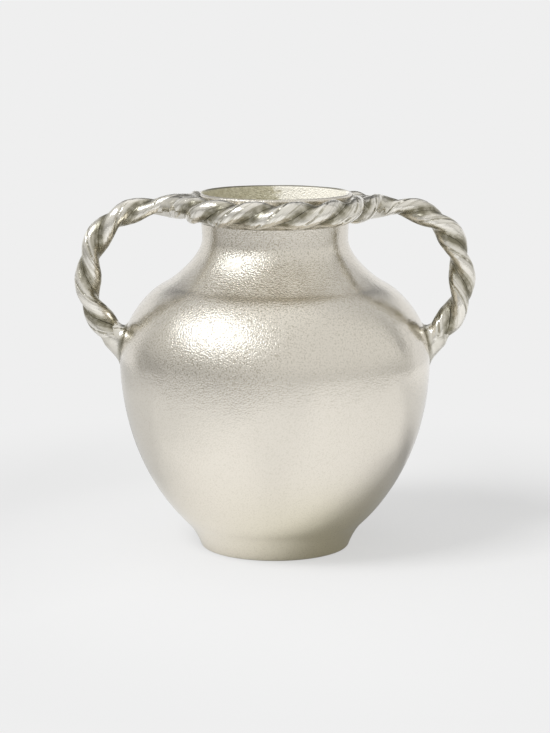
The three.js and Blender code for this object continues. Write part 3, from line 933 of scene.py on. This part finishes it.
def bezier_point(knots, t):
    """Point and heading at a share t of a path of two knots."""
    (p0, _, p1), (p3, p2, _) = knots
    way = (1 - t) ** 2 * (p1 - p0) + 2 * (1 - t) * t * (p2 - p1) + t * t * (p3 - p2)
    return cubic(t, p0, p1, p2, p3), unit(way)


def rope_outline(angle):
    """How far the two strands reach from the rope's middle, at an angle from the line of their centres."""
    across = abs(math.cos(angle)) * STRAND_OFFSET
    rest = STRAND_RADIUS ** 2 - (STRAND_OFFSET * math.sin(angle)) ** 2
    return across + math.sqrt(rest)


def handle_foot(name, node, side):
    knots = handle_knots(side)
    last = knots[1:]
    run = run_along(path_points(last, FOOT_STEPS))
    total = run_along(path_points(knots, LENGTH_STEPS))[-1]
    first_turn = math.pi if side < 0 else 0.0
    level = np.array([0.0, side, 0.0])

    def frame_at(before_end):
        """Middle, heading and turn of the rope, at a distance before the end of its path."""
        t = float(np.interp(run[-1] - before_end, run, np.linspace(0, 1, FOOT_STEPS)))
        middle, way = bezier_point(last, t)
        if before_end < 0:
            middle = middle - way * before_end
        return middle, way, first_turn - 2 * math.pi * (total - before_end) / HANDLE_LEAD

    def outwards_at(angle, way):
        return level * math.cos(angle) + np.cross(way, level) * math.sin(angle)

    def foot_row(angle):
        """The foot's points at one angle round the rope, from inside the strands to under the shoulder."""
        low, high = -LANDING_RANGE, LANDING_RANGE
        for _ in range(HALVINGS):
            landing = (low + high) / 2
            middle, way, _turn = frame_at(landing)
            corner = middle + outwards_at(angle, way) * FOOT_ROUND
            inside = math.hypot(corner[0], corner[1]) < outside_radius(corner[2])
            low, high = (landing, high) if inside else (low, landing)
        slope = outside_radius(corner[2] + 0.5) - outside_radius(corner[2] - 0.5)
        normal = unit(unit(corner * (1, 1, 0)) - np.array([0, 0, slope]))
        outwards = outwards_at(angle, way)
        outwards = unit(outwards - normal * outwards.dot(normal))
        foot_edge = corner + outwards * FILLET_OUT
        foot_edge[:2] *= outside_radius(foot_edge[2]) / math.hypot(foot_edge[0], foot_edge[1])
        row, under = [], max(0.0, math.sin(angle))
        full_rise = FOOT_RISE + UNDER_RISE * under
        for rise in np.linspace(full_rise, FILLET_UP, RISE_RINGS):
            middle, way, turn = frame_at(landing + rise)
            share = (full_rise - rise) / full_rise
            blend, filled = eased(share), under * eased(min(1.0, share / UNDER_FULL))
            reach = (1 - blend) * (rope_outline(angle - turn) - SUNK) + blend * (FOOT_ROUND + FOOT_SWELL)
            reach += filled * max(0.0, UNDER_ROUND - reach)
            row.append(middle + outwards_at(angle, way) * reach)
        start, lead = row[-1], row[-1] - row[-2]
        knee = start + lead * (FILLET_UP - KNEE_UP) / max(np.linalg.norm(lead), 1e-6)
        for t in np.linspace(0, 1, FILLET_RINGS)[1:]:
            row.append((1 - t) ** 2 * start + 2 * (1 - t) * t * knee + t * t * foot_edge)
        row.append(foot_edge + outwards * HEM_OUT - normal * SUNK)
        row.append(foot_edge - outwards * SKIRT_OUT - normal * SKIRT_DOWN)
        return row

    rows = [foot_row(2 * math.pi * k / AROUND) for k in range(AROUND)]
    rings = len(rows[0])
    points = [p for row in rows for p in row]
    faces = grid_faces(AROUND, rings, rows_close=True)
    for i in (0, rings - 1):
        hub = len(points)
        points.append(np.mean([row[i] for row in rows], axis=0))
        for k in range(AROUND):
            a, b = k * rings + i, (k + 1) % AROUND * rings + i
            faces.append((hub, a, b) if i == 0 else (hub, b, a))
    along_row = np.interp(np.arange(rings), [*DULL_AND_SHADE_RINGS, rings - 1], DULL_AND_SHADE)
    piece = polished_piece(name, points, faces, np.concatenate([np.tile(along_row, AROUND), [0.0, 1.0]]))
    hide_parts(node)


handle_foot("left_handle_flared_foot", "left_handle_foot", -1)
handle_foot("right_handle_flared_foot", "right_handle_foot", 1)

# %% [markdown]
# ## Studio
#
# Polished metal is mostly a picture of what stands round it, so the studio matters as much as the shader.
# The vase stands on a pale sweep, which is laid out in metres. Shade is painted on the sweep in a few places,
# most of all at the left, and at the back right as a painted shadow of the vase. Two of them, behind at the
# left and straight in front, only show in the metal.

# %% Floor
BACKGROUND = "#EFEFEF"
FLOOR_REACH, FLOOR_SIDES = 0.75, 96


def stage_material(name, colour, shade_colour):
    """Pale matt paper with painted shade in places, which passes to the plain background colour further out.
    """
    material, tree = new_material(name)
    place = out(add(tree, "ShaderNodeTexCoord"), "Object")
    x, y, _ = parts_of(place)
    distance = vector_of("LENGTH", place)
    seen = add(tree, "ShaderNodeLightPath")
    to_camera, to_metal = out(seen, "Is Camera Ray"), out(seen, "Is Glossy Ray")

    # Where the paper passes to the background: all round for the camera, behind for the metal
    camera_part = product(between(distance, 0.18, 0.42, 0.62, 1.0, smooth=True), to_camera)
    far_behind = product(between(distance, 0.30, 0.66, smooth=True),
                         between(y, 0.0, 0.3), between(x, -0.42, -0.10), to_metal)
    plain = math_of("MAXIMUM", camera_part, far_behind)

    # Where shade is painted on it
    leftwards = math_of("MULTIPLY_ADD", x, -0.9, product(y, -0.15))
    far_left = product(between(distance, 0.14, 0.52), between(leftwards, 0.0, 0.2))
    beside = math_of("MULTIPLY_ADD", y, 0.3, product(x, -1.0))
    near_left = product(between(distance, 0.06, 0.20), between(beside, 0.05, 0.22, 0.0, 0.6))
    back_right = product(between(y, 0.03, 0.10), between(x, 0.08, 0.16, 0.0, 0.4))
    behind_left = product(between(y, -0.08, 0.03), between(x, -0.12, -0.05, 0.78, 0.0), to_metal)
    off_centre = math_of("MULTIPLY_ADD", y, 0.6, math_of("ABSOLUTE", x))
    far_ahead = between(y, -0.60, -0.28, 0.55, 0.22)
    ahead = product(between(off_centre, -0.09, -0.01, far_ahead, 0.0, smooth=True), to_metal)
    shade = math_of("MAXIMUM", far_left, near_left, back_right, behind_left, ahead)
    paper = add(tree, "ShaderNodeBsdfDiffuse",
                {"Color": mix_colour(shade, linear(colour), linear(shade_colour))})
    backdrop = add(tree, "ShaderNodeEmission", {"Color": linear(BACKGROUND), "Strength": 1.0})
    mixed = add(tree, "ShaderNodeMixShader", {0: plain, 1: out(paper), 2: out(backdrop)})
    add(tree, "ShaderNodeOutputMaterial", {"Surface": out(mixed)})
    return material


floor_mesh = bpy.data.meshes.new("floor")
circle = [(FLOOR_REACH * math.cos(a), FLOOR_REACH * math.sin(a), 0.0)
          for a in np.linspace(0, 2 * math.pi, FLOOR_SIDES, endpoint=False)]
floor_mesh.from_pydata(circle, [], [tuple(range(FLOOR_SIDES))])
floor_mesh.materials.append(stage_material("pale_paper", "#CECECE", "#A6A6A6"))
floor = bpy.data.objects.new("floor", floor_mesh)
bpy.context.scene.collection.objects.link(floor)

# %% [markdown]
# ## The room
#
# The world stands for the room, as a few smooth tones by direction. To the camera it is the plain
# background. What the metal sees is a pale sweep behind, a mid-grey ceiling and a darker room in front,
# whose horizon is the grey band across the belly.

# %% World
OLIVE, NEUTRAL = (1.0, 0.995, 0.97), (1.0, 1.0, 1.0)
# Tones by height above the horizon, in degrees
FRONT_LEFT = [(-90, 0.60), (-14, 0.56), (-9, 0.41), (3, 0.41), (10, 0.56), (28, 0.70), (60, 0.74), (74, 0.84),
              (90, 0.92)]
FRONT_RIGHT = [(-90, 0.62), (-12, 0.58), (-7, 0.54), (2, 0.62), (8, 0.70), (45, 0.72), (62, 0.71), (74, 0.82),
               (90, 0.92)]
BACK_SIDE = [(-90, 0.80), (-6, 0.76), (17, 0.76), (24, 0.56), (56, 0.62), (72, 0.85), (90, 0.95)]
BEHIND = [(-90, 0.85), (-6, 0.85), (16, 0.85), (22, 0.16), (40, 0.16), (56, 0.66), (72, 0.85), (90, 0.95)]
# Shares by swing round from the camera's side, in degrees
BACKWARD = [(0, 0.0), (116, 0.0), (128, 1.0), (180, 1.0)]
STRAIGHT_BACK = [(0, 0.0), (146, 0.0), (168, 1.0), (180, 1.0)]
NOTCH = [(0, 1.0), (106, 1.0), (110, 0.60), (117, 0.60), (122, 1.0), (180, 1.0)]

world = bpy.data.worlds.new("studio")
bpy.context.scene.world = world
world.use_nodes = True
sky = world.node_tree
sky.nodes.clear()
to_right, to_back, upwards = parts_of(out(add(sky, "ShaderNodeTexCoord"), "Generated"))
level_length = vector_of("LENGTH", joined(to_right, to_back))
height_share = between(upwards, -1.0, 1.0)
round_share = between(math_of("DIVIDE", to_back, level_length), -1.0, 1.0)
right_share = between(math_of("DIVIDE", to_right, level_length), -0.95, 0.2, smooth=True)


def greys(value, share_of, stops, tint):
    """Greys of one tint on a ramp; share_of turns an angle to its place on it."""
    return colour_ramp(value, [(share_of(math.radians(degrees)), (*[level * part for part in tint], 1.0))
                               for degrees, level in stops])


def levels(stops, tint):
    return greys(height_share, lambda angle: (math.sin(angle) + 1) / 2, stops, tint)


def by_swing(stops):
    return greys(round_share, lambda angle: (1 - math.cos(angle)) / 2, stops, NEUTRAL)


front = mix_colour(right_share, levels(FRONT_LEFT, OLIVE), levels(FRONT_RIGHT, OLIVE))
back = mix_colour(by_swing(STRAIGHT_BACK), levels(BACK_SIDE, NEUTRAL), levels(BEHIND, NEUTRAL))
room = mix_colour(by_swing(BACKWARD), front, back)
notch = product(between(upwards, 0.0, 0.15), from_to(right_share, 0.45, 1.0))
dimmed = mix_colour(notch, room, by_swing(NOTCH), "MULTIPLY")
room_light = add(sky, "ShaderNodeBackground", {"Color": dimmed, "Strength": 1.0})
plain = add(sky, "ShaderNodeBackground", {"Color": linear(BACKGROUND), "Strength": 1.0})
to_camera = out(add(sky, "ShaderNodeLightPath"), "Is Camera Ray")
chosen = add(sky, "ShaderNodeMixShader", {0: to_camera, 1: out(room_light), 2: out(plain)})
add(sky, "ShaderNodeOutputWorld", {"Surface": out(chosen)})

# %% [markdown]
# ## Lamps
#
# A large softbox hangs to the left, in front and above, and gives the two bright patches on the neck and
# the shoulder. A second one, further off, lights the floor and casts the soft shadow to the right. It
# isn't seen in the metal, so that the shadow and the bright patches can each be set by one lamp.

# %% Lamps
LAMP_AIM = (0, 0, 0.12)
SLIGHTLY_BLUE = (0.89, 0.935, 1.0)


def softbox(name, swing, rise, distance, width, tall, power):
    """A rectangular lamp, placed by its swing from the camera's side and its rise, both in degrees."""
    data = bpy.data.lights.new(name, "AREA")
    data.shape = "RECTANGLE"
    data.size, data.size_y = width, tall
    data.energy = power
    swing, rise = math.radians(swing), math.radians(rise)
    away = Vector((math.sin(swing) * math.cos(rise), -math.cos(swing) * math.cos(rise), math.sin(rise)))
    lamp = bpy.data.objects.new(name, data)
    lamp.location = Vector(LAMP_AIM) + away * distance
    lamp.rotation_euler = (-away).to_track_quat("-Z", "Y").to_euler()
    bpy.context.scene.collection.objects.link(lamp)
    return lamp


main = softbox("softbox_left_front", swing=-59, rise=46.9, distance=1.8, width=1.40, tall=0.60, power=7.2)
main.data.color = SLIGHTLY_BLUE
key = softbox("key_on_the_floor", swing=-52, rise=50, distance=3.6, width=1.40, tall=1.20, power=118.0)
key.visible_glossy = False
bpy.context.scene.view_settings.view_transform = "Standard"
print("lamps:", main.name, "and", key.name)
